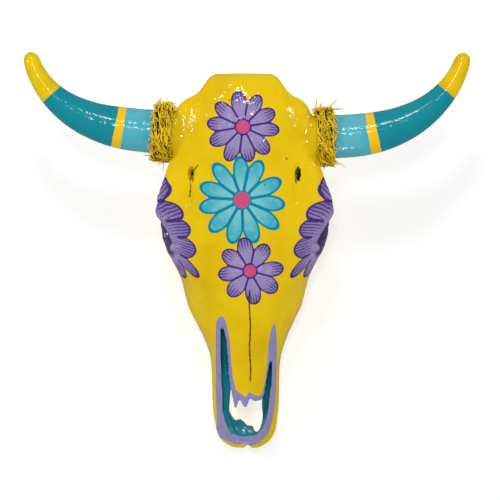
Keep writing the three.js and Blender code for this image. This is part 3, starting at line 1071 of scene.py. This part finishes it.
@dataclass
class SkullSkin:
    """One smooth skin over all the bones, from which the single bones are then cut."""

    voxel: float = 1.7  # mm
    grow: float = 0.28  # mm, closes the sutures of the CAD bones
    rounds: int = 20
    steps: tuple[float, float] = (0.5, -0.53)  # shares of the pull, inwards and back out again
    teeth: tuple[float, float] = (15.0, 30.0)  # heights between which the smoothing sets in
    fair_rounds: int = 70
    fair: Hollow = Hollow(at=(76, 157, 172), radii=(34, 46, 34))  # where a horn core leaves the forehead
    swell: tuple[float, float] = (0.45, 0.07)  # coarse and fine unevenness, mm
    wave: tuple[float, float] = (24.0, 6.0)  # their lengths, mm
    grooves: tuple[Groove, ...] = (
        Groove(route=((-69.5, 114), (-68.6, 98), (-69.8, 84), (-71.5, 68)), width=3.6, depth=2.4),
        Groove(route=((67, 115), (66, 98), (65.4, 84), (66.5, 70)), width=3.4, depth=2.1),
        Groove(route=((-64, 210), (-73, 178), (-80, 156)), width=11, depth=3.2),
        Groove(route=((60, 210), (69, 178), (77, 156)), width=11, depth=3.2),
    )
    grooves_above: float = 120.0
    rough: tuple[RoughSpot, ...] = (
        RoughSpot(Hollow(at=(3, -249, 46), radii=(18, 9, 18)), swell=2.4, wave=6),  # front of the muzzle
        RoughSpot(Hollow(at=(0, 208, 180), radii=(80, 34, 30)), swell=0.9, wave=9),  # poll
        RoughSpot(Hollow(at=(70, 92, 165), radii=(20, 45, 25)), swell=0.8, wave=10),  # round the pores
    )

    def build(self, nodes: Sequence[str]) -> bpy.types.Object:
        """Makes the skin.

        Args:
            nodes: The CAD nodes of the bones.

        Returns:
            The skin as an object.
        """
        skin = solid_of_node(nodes[0], self.grow)
        for node in nodes[1:]:
            other = solid_of_node(node, self.grow)
            combine(skin, other, Join.UNION)
            remove_object(other)
        remesh = skin.modifiers.new("voxels", "REMESH")
        remesh.mode = "VOXEL"
        remesh.voxel_size = self.voxel * MM
        bake_modifiers(skin)
        self.relax(skin.data)
        self.roughen(skin.data)
        log.info("skin: %d vertices", len(skin.data.vertices))
        return skin

    def relax(self, mesh: bpy.types.Mesh) -> None:
        """Smooths facets away without shrinking the bone, and fairs the horn cores into the forehead.

        Args:
            mesh: The skin's mesh.
        """
        net = Net(mesh)
        places = places_of(mesh)
        share = smoothstep(places[:, 2], *self.teeth)[:, None]
        for step in self.steps * self.rounds:
            places += step * share * net.pull(places)
        share = smoothstep(self.fair.depth(*places.T), 1.0, 0.6)[:, None]
        for _ in range(self.fair_rounds):
            places += self.steps[0] * share * net.pull(places)
        set_places(mesh, places)

    def roughen(self, mesh: bpy.types.Mesh) -> None:
        """Gives the bone its unevenness and its grooves.

        Args:
            mesh: The skin's mesh.
        """
        places = places_of(mesh)
        x, y, z = places.T
        height = np.zeros(len(places))
        layers = [(swell, wave, 1.0) for swell, wave in zip(self.swell, self.wave)]
        layers += [(spot.swell, spot.wave, spot.share(x, y, z)) for spot in self.rough]
        for swell, wave, share in layers:
            height += swell * share * np.array([noise.noise(Vector(p)) for p in places / wave])
        height *= smoothstep(z, *self.teeth)
        for groove in self.grooves:
            height -= np.where(z > self.grooves_above, groove.sink(x, y), 0)
        set_places(mesh, places + normals_of(mesh) * height[:, None])


@dataclass
class Bones:
    """The bones of the skull, cut from its skin along their sutures."""

    paint: SkullPaint = SkullPaint()
    suture_x: float = 6.5
    nasal_thick: float = 9.0
    crack_deep: float = 4.0
    crack_stray: tuple[float, float] = (0.35, 7.0)  # how far its edges wander, and over which length
    nose_span: tuple[float, float] = (-210.0, -20.0)  # along Y, past both ends of the nasal bones
    nose_half: float = 60.0
    spare: float = 20.0  # kept above the bone in a layer
    layer_steps: int = 40
    crack_steps: int = 60
    sharp_from: float = 50.0  # degrees, the bend at which an edge is shown sharp
    column: tuple[float, float] = (-50.0, 300.0)  # heights between which every column stands
    jaw_back: Outline = ((-28, 230), (-28, 84), (24, 60), (24, -20))
    jaw_front: Outline = ((-90, 130), (-166, 10))
    cheek_from: float = 66.0
    cheek: Outline = ((-28, 84), (-28, 90), (12, 92), (58, 118), (92, 118), (96, 60), (24, 44), (24, 60))
    nasal_left: Outline = (
        (6.2, -33), (17, -24), (28, -48), (36.4, -92), (34.6, -130), (31.6, -144), (29, -161), (25.2, -183),
        (21.4, -190.4), (12.5, -191.6), (6.8, -187),
    )
    nasal_right: Outline = (
        (6.2, -33), (-6, -24), (-24, -48), (-30.2, -84.5), (-27.6, -95.5), (-24.2, -110), (-22.8, -150),
        (-20, -167), (-17.4, -181.5), (-13.4, -201), (-11.8, -201), (-7.4, -187), (-1.2, -199), (1.6, -199.5),
        (5.4, -188.6), (6.8, -187),
    )
    crack_middle: Outline = (
        (-210, 6.8), (-187, 6.8), (-150, 7.3), (-120, 6.0), (-90, 7.0), (-60, 5.4), (-40, 6.2),
    )
    crack_width: Outline = (
        (-210, 0.05), (-172, 0.05), (-158, 0.7), (-130, 1.5), (-90, 1.0), (-62, 0.8), (-40, 0.1),
    )

    def in_front_of(self, name: str, side_line: Outline) -> bpy.types.Object:
        """Makes the region in front of a line in the side view."""
        front = [(-FAR, side_line[-1][1]), (-FAR, side_line[0][1])]
        return prism(name, [*side_line, *front], -FAR, FAR, across=True)

    def nasal_region(self, side: Side) -> bpy.types.Object:
        """Makes the region of one nasal bone.

        Args:
            side: Which of the two.

        Returns:
            A column in plan view, as deep as the bone is thick.
        """
        outline = self.nasal_left if side is Side.LEFT else self.nasal_right
        region = prism(f"nasal_region_{side.word}", outline, *self.column)
        return self.skim(region, self.nasal_thick)

    def skim(self, column: bpy.types.Object, thick: float) -> bpy.types.Object:
        """Keeps the part of a column that lies near the top of the nose.

        Args:
            column: The column, changed in place.
            thick: How deep the part reaches below the top, mm.

        Returns:
            The column.
        """
        ys = np.linspace(*self.nose_span[::-1], self.layer_steps)
        band = [(y, CROWN(y) + self.spare) for y in ys] + [(y, CROWN(y) - thick) for y in ys[::-1]]
        layer = prism("nasal_layer", band, -self.nose_half, self.nose_half, across=True)
        combine(column, layer, Join.COMMON)
        remove_object(layer)
        return column

    def crack(self) -> bpy.types.Object:
        """Makes the crack that has opened between the nasal bones.

        Returns:
            The crack as a solid.
        """
        ys = np.linspace(self.crack_middle[0][0], self.crack_middle[-1][0], self.crack_steps)
        middle, width = monotone(self.crack_middle)(ys), monotone(self.crack_width)(ys)
        stray, length = self.crack_stray
        jagged = np.array([stray * noise.noise(Vector((y / length, 0, 0))) for y in ys])
        left = list(zip(middle + jagged + width / 2, ys))
        right = list(zip(middle + jagged - width / 2, ys))
        return self.skim(prism("nasal_crack", left + right[::-1], *self.column), self.crack_deep)

    def cut(self, skin: bpy.types.Object) -> dict[str, bpy.types.Object]:
        """Cuts the skin into bones.

        Args:
            skin: The skin, used up.

        Returns:
            The bones by the names of the CAD nodes that they replace.
        """
        bones: dict[str, bpy.types.Object] = {}
        crack = self.crack()
        regions = {side: self.nasal_region(side) for side in Side}
        for side, region in regions.items():
            nasal = combine(copy_of(skin, "nasal_bone"), region, Join.COMMON)
            bones[f"nasal_bone_{side.word}"] = combine(nasal, crack, Join.CUT)
        for region in regions.values():
            combine(skin, region, Join.CUT)
        jaw = self.in_front_of("jaw_region", self.jaw_back)
        muzzle = self.in_front_of("muzzle_region", self.jaw_front)
        brain = combine(copy_of(skin, "cranium"), jaw, Join.CUT)
        combine(skin, jaw, Join.COMMON)
        for side in Side:
            low, high = sorted((self.suture_x, side.value * FAR))
            half = prism("half", [(low, -FAR), (high, -FAR), (high, FAR), (low, FAR)], -FAR, FAR)
            maxilla = combine(copy_of(skin, "maxilla"), half, Join.COMMON)
            premaxilla = combine(copy_of(maxilla, "premaxilla"), muzzle, Join.COMMON)
            bones[f"premaxilla_{side.word}"] = premaxilla
            bones[f"maxilla_{side.word}"] = combine(maxilla, muzzle, Join.CUT)
            outer = sorted((side.value * self.cheek_from, side.value * FAR))
            region = prism("cheek_region", self.cheek, *outer, across=True)
            bones[f"cheekbone_{side.word}"] = combine(copy_of(brain, "cheekbone"), region, Join.COMMON)
            combine(brain, region, Join.CUT)
            remove_object(half)
            remove_object(region)
        bones["cranium"] = brain
        for tool in (skin, crack, jaw, muzzle, *regions.values()):
            remove_object(tool)
        return bones

    def build(self, finish: Finish) -> None:
        """Makes every bone, paints it and hands it to the frame.

        Args:
            finish: The bones' paint.
        """
        skin = SkullSkin().build([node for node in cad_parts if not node.startswith("horn")])
        for node, bone in self.cut(skin).items():
            bone.name = f"{node}_painted"
            self.paint.apply(bone.data)
            bone.data.materials.clear()
            bone.data.materials.append(finish.material)
            bone.data.shade_smooth()
            bone.data.set_sharp_from_angle(angle=math.radians(self.sharp_from))
            finish_piece(bone, [node])


# Horns and straw


@dataclass
class Horn:
    """A horn sheath that sweeps out, forward and up from its root."""

    side: Side
    root: tuple[float, float, float]
    length: float
    heading: float
    turn: float
    curl: float
    lift: float
    ring: tuple[float, float]  # edges of the yellow ring, from the root
    tip: float  # where the painted tip starts
    steps: int = 150
    facets: int = 56
    girth: Outline = (
        (0, 27.9), (0.2, 27), (0.45, 22.4), (0.7, 15.7), (0.88, 11.6), (0.95, 10.2), (0.985, 7.2), (1, 1.6),
    )
    ripple: float = 0.35  # growth rings at the base, mm
    ripples: float = 26.0  # rings along the whole horn

    @property
    def node(self) -> str:
        """The CAD node that the horn replaces."""
        return f"horn_{self.side.word}"

    def way(self, extra: float = 0.0) -> Vector:
        """The level direction in which the horn leaves the skull, turned by some degrees."""
        angle = math.radians(self.heading + extra)
        return Vector((self.side.value * math.cos(angle), math.sin(angle), 0))

    def middle_line(self) -> np.ndarray:
        """Works out the points along the middle of the horn, mm.

        Returns:
            One row per step, from the root to the tip.
        """
        t = (np.arange(self.steps) + 0.5) / self.steps
        angle = np.radians(self.heading + (self.turn - self.heading) * t**self.curl)
        run = self.length / self.steps
        x = self.root[0] + np.concatenate([[0], np.cumsum(np.cos(angle) * run)])
        y = self.root[1] + np.concatenate([[0], np.cumsum(np.sin(angle) * run)])
        z = self.root[2] + self.lift * np.linspace(0, 1, self.steps + 1) ** 1.4
        return np.stack([x * self.side.value, y, z], axis=1)

    def build(self) -> None:
        """Makes the horn's sheath, paints it and hands it to the frame."""
        line = self.middle_line()
        share = np.linspace(0, 1, self.steps + 1)
        rings = np.array([noise.noise(Vector((s * self.ripples, 3.0 * self.side.value, 0))) for s in share])
        radius = monotone(self.girth)(share) + self.ripple * rings * smoothstep(share, 0.75, 0.1)
        ahead = np.gradient(line, axis=0)
        level = np.cross(ahead, (0, 0, 1))
        above = np.cross(level, ahead)
        level, above = (v / np.linalg.norm(v, axis=1, keepdims=True) for v in (level, above))
        angle = np.linspace(0, 2 * math.pi, self.facets, endpoint=False)[None, :, None]
        around = np.cos(angle) * level[:, None] + np.sin(angle) * above[:, None]
        mesh = grid_mesh(self.node, line[:, None] + radius[:, None, None] * around, closed=False)
        store(mesh, "along", np.repeat(share * self.length, self.facets))
        sheath = make_object(f"{self.node}_sheath", mesh)
        mesh.materials.append(HornPaint(f"{self.node}_gloss_paint", self.ring, self.tip).material)
        mesh.shade_smooth()
        finish_piece(sheath, [self.node])


@dataclass
class StrawWrap:
    """Straw rope bound round the root of a horn: a dark core and strands over it."""

    horn: Horn
    seed: int
    insets: tuple[float, float, float]  # the rope's turns, back from the horn's root
    loose: float  # share of the strands with an end that stands off
    askew: float = 0.58  # share of the strands that lie askew
    strands: int = 900
    tube: float = 4.1
    clear: float = 1.0  # mm between horn and rope
    tilt: float = 1.0
    straw: float = 0.6  # radius of a strand, mm
    points: int = 9
    facets: tuple[int, int] = (72, 20)

    @property
    def node(self) -> str:
        """The CAD node that the wrap replaces."""
        return f"horn_wrap_{self.horn.side.word}"

    @property
    def round(self) -> float:
        """Radius of a rope turn's middle line, mm."""
        return self.horn.girth[0][1] + self.clear + self.tube

    @property
    def turn_step(self) -> float:
        """Distance between two turns of the rope, mm."""
        return (self.insets[0] - self.insets[2]) / 2

    def core(self) -> bpy.types.Object:
        """Makes the turns of rope below the strands.

        Returns:
            The core as an object.
        """
        bm = bmesh.new()
        theta, psi = (np.linspace(0, 2 * math.pi, n, endpoint=False) for n in self.facets)
        for inset in self.insets:
            radial = self.round + self.tube * np.cos(psi)[None]
            axial = np.broadcast_to(self.insets[1] - inset + self.tube * np.sin(psi), (len(theta), len(psi)))
            rows = [axial, radial * np.cos(theta)[:, None], radial * np.sin(theta)[:, None]]
            bm.from_mesh(grid_mesh("turn", np.stack(rows, axis=-1), closed=True))
        mesh = bpy.data.meshes.new(f"{self.node}_core")
        bm.to_mesh(mesh)
        bm.free()
        self.put(mesh)
        mesh.shade_smooth()
        return make_object(mesh.name, mesh)

    def put(self, mesh: bpy.types.Mesh) -> None:
        """Carries a mesh that runs along X to its place at the horn's root.

        Args:
            mesh: The mesh, changed in place.
        """
        centre = Vector(self.horn.root)
        centre.x *= self.horn.side.value
        centre -= self.horn.way() * self.insets[1]
        way = self.horn.way(self.tilt)
        axes = np.array([way, Vector((0, 0, 1)).cross(way), Vector((0, 0, 1))])
        set_places(mesh, places_of(mesh) @ axes + np.array(centre))

    def tree(self, material: bpy.types.Material) -> bpy.types.NodeTree:
        """Builds the node tree that lays strands of straw along the rope's turns.

        Args:
            material: The strands' material.

        Returns:
            The tree, with named inputs.
        """
        tree = bpy.data.node_groups.new(f"straw_{self.horn.side.word}", "GeometryNodeTree")
        kinds = {"Strands": "NodeSocketInt", "Seed": "NodeSocketInt", "Straw": "NodeSocketFloat"}
        for name, kind in kinds.items():
            tree.interface.new_socket(name, in_out="INPUT", socket_type=kind)
        tree.interface.new_socket("Geometry", in_out="OUTPUT", socket_type="NodeSocketGeometry")
        given = tree.nodes.new("NodeGroupInput")
        seeds = iter(range(DRAWS))

        def add(kind: str, **inputs: object) -> bpy.types.Node:
            """Adds a node and sets or links its inputs.

            Args:
                kind: The node's type.
                inputs: Values or sockets by the inputs' names, with underscores for blanks.

            Returns:
                The node.
            """
            node = tree.nodes.new(kind)
            for name, value in inputs.items():
                socket = node.inputs[name.replace("_", " ")]
                if isinstance(value, bpy.types.NodeSocket):
                    tree.links.new(value, socket)
                else:
                    socket.default_value = value
            return node

        start = add("GeometryNodeCurvePrimitiveLine", End=(1, 0, 0))
        strand = add("GeometryNodeResampleCurve", Curve=start.outputs[0], Count=self.points)
        places = add("GeometryNodeMeshLine", Count=given.outputs["Strands"])
        many = add("GeometryNodeInstanceOnPoints", Points=places.outputs[0], Instance=strand.outputs[0])
        loose = add("GeometryNodeRealizeInstances", Geometry=many.outputs[0])
        which = add("GeometryNodeFieldOnDomain", Value=add("GeometryNodeInputIndex").outputs[0])
        which.domain = "CURVE"
        t = Wire(tree, add("GeometryNodeSplineParameter").outputs["Factor"])

        def dice(low: float, high: float) -> Wire:
            """Draws a number per strand.

            Args:
                low: The least number.
                high: The greatest number.

            Returns:
                The number.
            """
            node = add("FunctionNodeRandomValue", ID=which.outputs[0])
            node.inputs[DICE_LOW].default_value = low
            node.inputs[DICE_HIGH].default_value = high
            seed = Wire(tree, given.outputs["Seed"]) * float(DRAWS) + float(next(seeds))
            tree.links.new(seed.socket, node.inputs["Seed"])
            return Wire(tree, node.outputs[DICE_RESULT])

        # Some strands lie askew, a few have an end that stands off, and the rest follow their turn
        middle = t - 0.5
        fuzz = dice(0, 1).math("GREATER_THAN", 1 - self.askew)
        loose_end = dice(0, 1).math("LESS_THAN", self.loose)
        turn = dice(-1.49, 1.49).math("ROUND")
        # Each strand runs round the horn by theta and round its turn of rope by psi
        theta = dice(0, 2 * math.pi) + middle * (dice(0.35, 0.8) - fuzz * dice(0.1, 0.55))
        psi = dice(-2.2, 2.2) + middle * dice(-0.4, 2.2)
        depth = dice(-0.2, 0.9) + self.tube + fuzz * dice(0.0, 0.9)
        lifted = (t ** 2.5) * (fuzz * dice(0.0, 2.2) + loose_end * dice(3.0, 13.0))
        radial = psi.math("COSINE") * depth + self.round + lifted
        axial = psi.math("SINE") * depth + turn * self.turn_step + (t ** 2.0) * loose_end * dice(-7.0, 11.0)
        axial = axial + fuzz * middle * dice(-10.0, 10.0)
        radial = radial + (t * 9.0 + dice(0, 6)).math("SINE") * 0.25
        place = tree.nodes.new("ShaderNodeCombineXYZ")
        for socket, value in zip(
            place.inputs, (axial, radial * theta.math("COSINE"), radial * theta.math("SINE"))
        ):
            tree.links.new((value * MM).socket, socket)
        laid = add("GeometryNodeSetPosition", Geometry=loose.outputs[0], Position=place.outputs[0])
        shaded = add("GeometryNodeStoreNamedAttribute", Geometry=laid.outputs[0], Name="shade")
        tree.links.new(dice(0, 1).socket, shaded.inputs["Value"])
        ring = add("GeometryNodeCurvePrimitiveCircle", Resolution=5)
        tree.links.new((Wire(tree, given.outputs["Straw"]) * MM).socket, ring.inputs["Radius"])
        taper = (abs(middle * 2.0) ** 4.0) * -0.7 + 1.0
        tubes = add(
            "GeometryNodeCurveToMesh",
            Curve=shaded.outputs[0],
            Profile_Curve=ring.outputs[0],
            Scale=(taper * dice(0.6, 1.35)).socket,
            Fill_Caps=True,
        )
        smooth = add("GeometryNodeSetShadeSmooth", Geometry=tubes.outputs[0])
        whole = add("GeometryNodeRealizeInstances", Geometry=smooth.outputs[0])
        dressed = add("GeometryNodeSetMaterial", Geometry=whole.outputs[0], Material=material)
        out = tree.nodes.new("NodeGroupOutput")
        tree.links.new(dressed.outputs[0], out.inputs[0])
        return tree

    def cover(self, material: bpy.types.Material) -> bpy.types.Object:
        """Makes the strands of straw.

        Args:
            material: Their material.

        Returns:
            The strands as one object.
        """
        cover = make_object(f"{self.node}_straw", bpy.data.meshes.new(f"{self.node}_straw"))
        tree = self.tree(material)
        modifier = cover.modifiers.new("straw", "NODES")
        modifier.node_group = tree
        values = {"Strands": self.strands, "Seed": self.seed, "Straw": self.straw}
        for item in tree.interface.items_tree:
            if item.item_type == "SOCKET" and item.in_out == "INPUT":
                modifier[item.identifier] = values[item.name]
        bake_modifiers(cover)
        self.put(cover.data)
        return cover

    def build(self, finish: Finish, shade: Finish) -> None:
        """Makes the wrap, dresses it and hands it to the frame.

        Args:
            finish: The strands' paint.
            shade: The finish of the core.
        """
        core = self.core()
        core.data.materials.append(shade.material)
        finish_piece(core, [self.node])
        finish_piece(self.cover(finish.material), [])


# The studio


@dataclass(frozen=True)
class Lamp:
    """A square soft light that faces the middle of the skull, in metres and watts."""

    name: str
    place: tuple[float, float, float]
    size: float
    power: float
    aim: tuple[float, float, float] = (0, 0, 0.1)

    def hang(self) -> None:
        """Adds the light to the scene."""
        data = bpy.data.lights.new(self.name, "AREA")
        data.size = self.size
        data.energy = self.power
        lamp = bpy.data.objects.new(self.name, data)
        bpy.context.scene.collection.objects.link(lamp)
        lamp.location = self.place
        lamp.rotation_mode = "QUATERNION"
        lamp.rotation_quaternion = (Vector(self.aim) - Vector(self.place)).to_track_quat("-Z", "Y")


@dataclass
class Studio:
    """A pale floor, soft light and a camera that looks straight down, in metres."""

    eye: tuple[float, float, float] = (0.0065, 0.008, 2.5)
    lens: float = 131.8
    sensor: float = 36.0
    floor_size: float = 8.0
    floor_grey: float = 0.5
    floor_glow: float = 0.62
    sky: float = 0.2
    lamps: tuple[Lamp, ...] = (
        Lamp("top_light", (-0.1, 0.5, 2.7), size=0.25, power=14),
        Lamp("key_light", (-0.15, 1.6, 2.2), size=0.3, power=16),
        Lamp("left_light", (-1.7, 0.5, 1.7), size=0.3, power=13),
        Lamp("right_light", (1.7, 0.5, 1.7), size=0.3, power=10),
        Lamp("muzzle_light", (0.1, -2.4, 1.0), size=0.3, power=16),
    )

    def build(self) -> None:
        """Sets up floor, lights, sky and camera."""
        self.lay_floor()
        bpy.context.scene.view_settings.view_transform = "Standard"
        for lamp in self.lamps:
            lamp.hang()
        self.light_sky()
        self.set_camera()

    def lay_floor(self) -> None:
        """Lays white paper below the skull, kept out of the paint's reflections."""
        bpy.ops.mesh.primitive_plane_add(size=self.floor_size)
        floor = bpy.context.object
        floor.name = "floor"
        finish = Finish("floor_paper", roughness=0.95, shine=0.1)
        finish.shader.inputs["Base Color"].default_value = (*[self.floor_grey] * 3, 1)
        finish.shader.inputs["Emission Color"].default_value = (1, 1, 1, 1)
        finish.shader.inputs["Emission Strength"].default_value = self.floor_glow
        floor.data.materials.append(finish.material)
        floor.visible_glossy = False

    def light_sky(self) -> None:
        """Fills the room with even white light."""
        world = bpy.data.worlds.new("studio")
        bpy.context.scene.world = world
        world.use_nodes = True
        background = world.node_tree.nodes["Background"]
        background.inputs["Color"].default_value = (1, 1, 1, 1)
        background.inputs["Strength"].default_value = self.sky

    def set_camera(self) -> None:
        """Hangs the camera over the face, looking down."""
        camera = bpy.data.objects.new("camera", bpy.data.cameras.new("camera"))
        bpy.context.scene.collection.objects.link(camera)
        camera.location = self.eye
        camera.data.lens = self.lens
        camera.data.sensor_width = self.sensor
        bpy.context.scene.camera = camera


LEFT_HORN = Horn(
    Side.LEFT, root=(112, 153.3, 152), length=214, heading=1.4, turn=79, curl=1.5, lift=26,
    ring=(46.5, 58.5), tip=161,
)
RIGHT_HORN = Horn(
    Side.RIGHT, root=(112, 159.6, 152), length=206, heading=3.9, turn=81, curl=1.74, lift=22,
    ring=(44, 55), tip=146,
)
WRAPS = (
    StrawWrap(LEFT_HORN, seed=21, insets=(15.5, 9.3, 3.0), loose=0.11),
    StrawWrap(RIGHT_HORN, seed=22, insets=(14.0, 6.8, -0.4), loose=0.06),
)


def main() -> None:
    """Builds every piece, dresses it and sets up the studio."""
    logging.basicConfig(level=logging.INFO, format="%(message)s")
    Bones().build(BonePaint())
    straw, shade = StrawPaint(), StrawShade()
    for wrap in WRAPS:
        wrap.horn.build()
        wrap.build(straw, shade)
    Studio().build()


if __name__ == "__main__":
    main()
